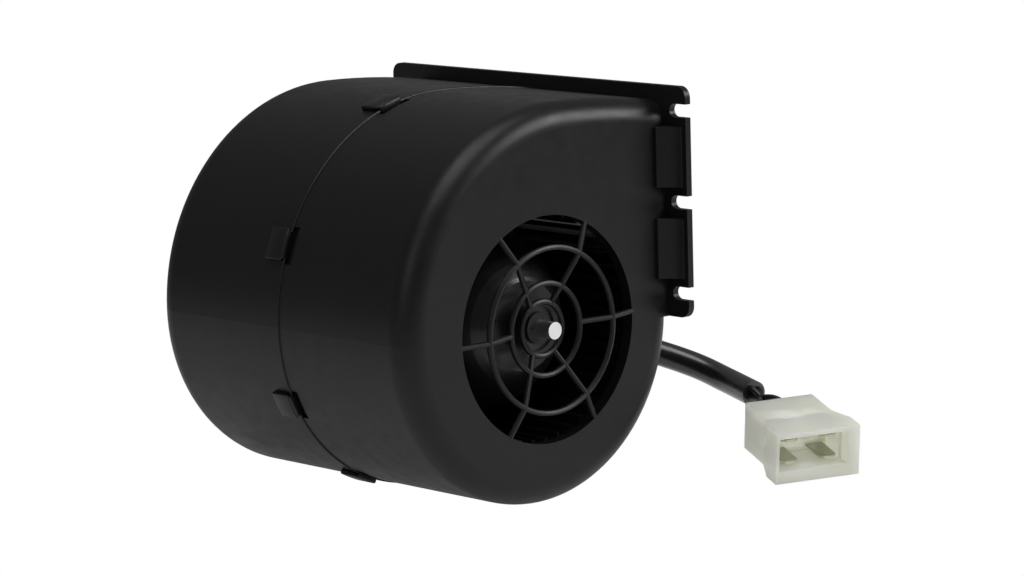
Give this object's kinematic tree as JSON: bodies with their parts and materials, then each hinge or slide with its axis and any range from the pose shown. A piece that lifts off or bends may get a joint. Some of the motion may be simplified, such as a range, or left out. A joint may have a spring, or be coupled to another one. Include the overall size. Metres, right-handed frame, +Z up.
{
  "type": "dc blower fan",
  "caption": "Double-inlet centrifugal blower with snap-together scroll halves, guarded inlets, slotted rectangular outlet flange, central dc motor and flying lead with plug.",
  "frame": {"origin": "centre of the outlet flange's outer face", "axes": "+X out of the outlet, +Y along the fan axis towards the rear housing, +Z up towards the duct roof"},
  "size_m": [0.1815, 0.1964, 0.14],
  "materials": {
    "housing_black": "satin moulded black",
    "support_plastic": "satin",
    "rubber_black": "matt",
    "zinc_steel": "zinc plated",
    "ferrite": "dull grey",
    "brush_board": "satin",
    "carbon": "dull",
    "spring_steel": "plain",
    "bronze": "sintered",
    "washer_plastic": "satin",
    "shaft_steel": "ground",
    "core_steel": "stamped",
    "copper_wire": "enamelled",
    "copper_bar": "turned",
    "wheel_black": "satin moulded black",
    "ceramic": "matt",
    "sleeve_black": "glossy soft plastic",
    "natural_nylon": "translucent natural",
    "tinned_brass": "tin plated"
  },
  "bodies": {
    "stator": {"front_housing": "housing_black", "rear_housing": "housing_black", "housing_clips": "housing_black", "motor_support": "support_plastic", "motor_isolator": "rubber_black", "motor_can": "zinc_steel", "motor_end_cap": "zinc_steel", "motor_tie_screws": "zinc_steel", "motor_magnets": "ferrite", "brush_holder": "brush_board", "motor_brushes": "carbon", "brush_springs": "spring_steel", "shaft_bushings": "bronze", "speed_resistors": "ceramic", "cable_grommet": "rubber_black", "cable_sleeve": "sleeve_black", "lead_wires": "sleeve_black", "connector_housing": "natural_nylon", "connector_tabs": "tinned_brass"},
    "rotor": {"motor_shaft": "shaft_steel", "armature_core": "core_steel", "armature_windings": "copper_wire", "commutator": "copper_bar", "front_wheel": "wheel_black", "rear_wheel": "wheel_black", "wheel_clips": "spring_steel", "thrust_washers": "washer_plastic"}
  },
  "joints": [
    {"name": "fan_spin", "type": "hinge", "parent": "stator", "child": "rotor", "pos_m": [-0.0601, 0, -0.03812], "axis": [0, 1, 0], "continuous": true}
  ]
}
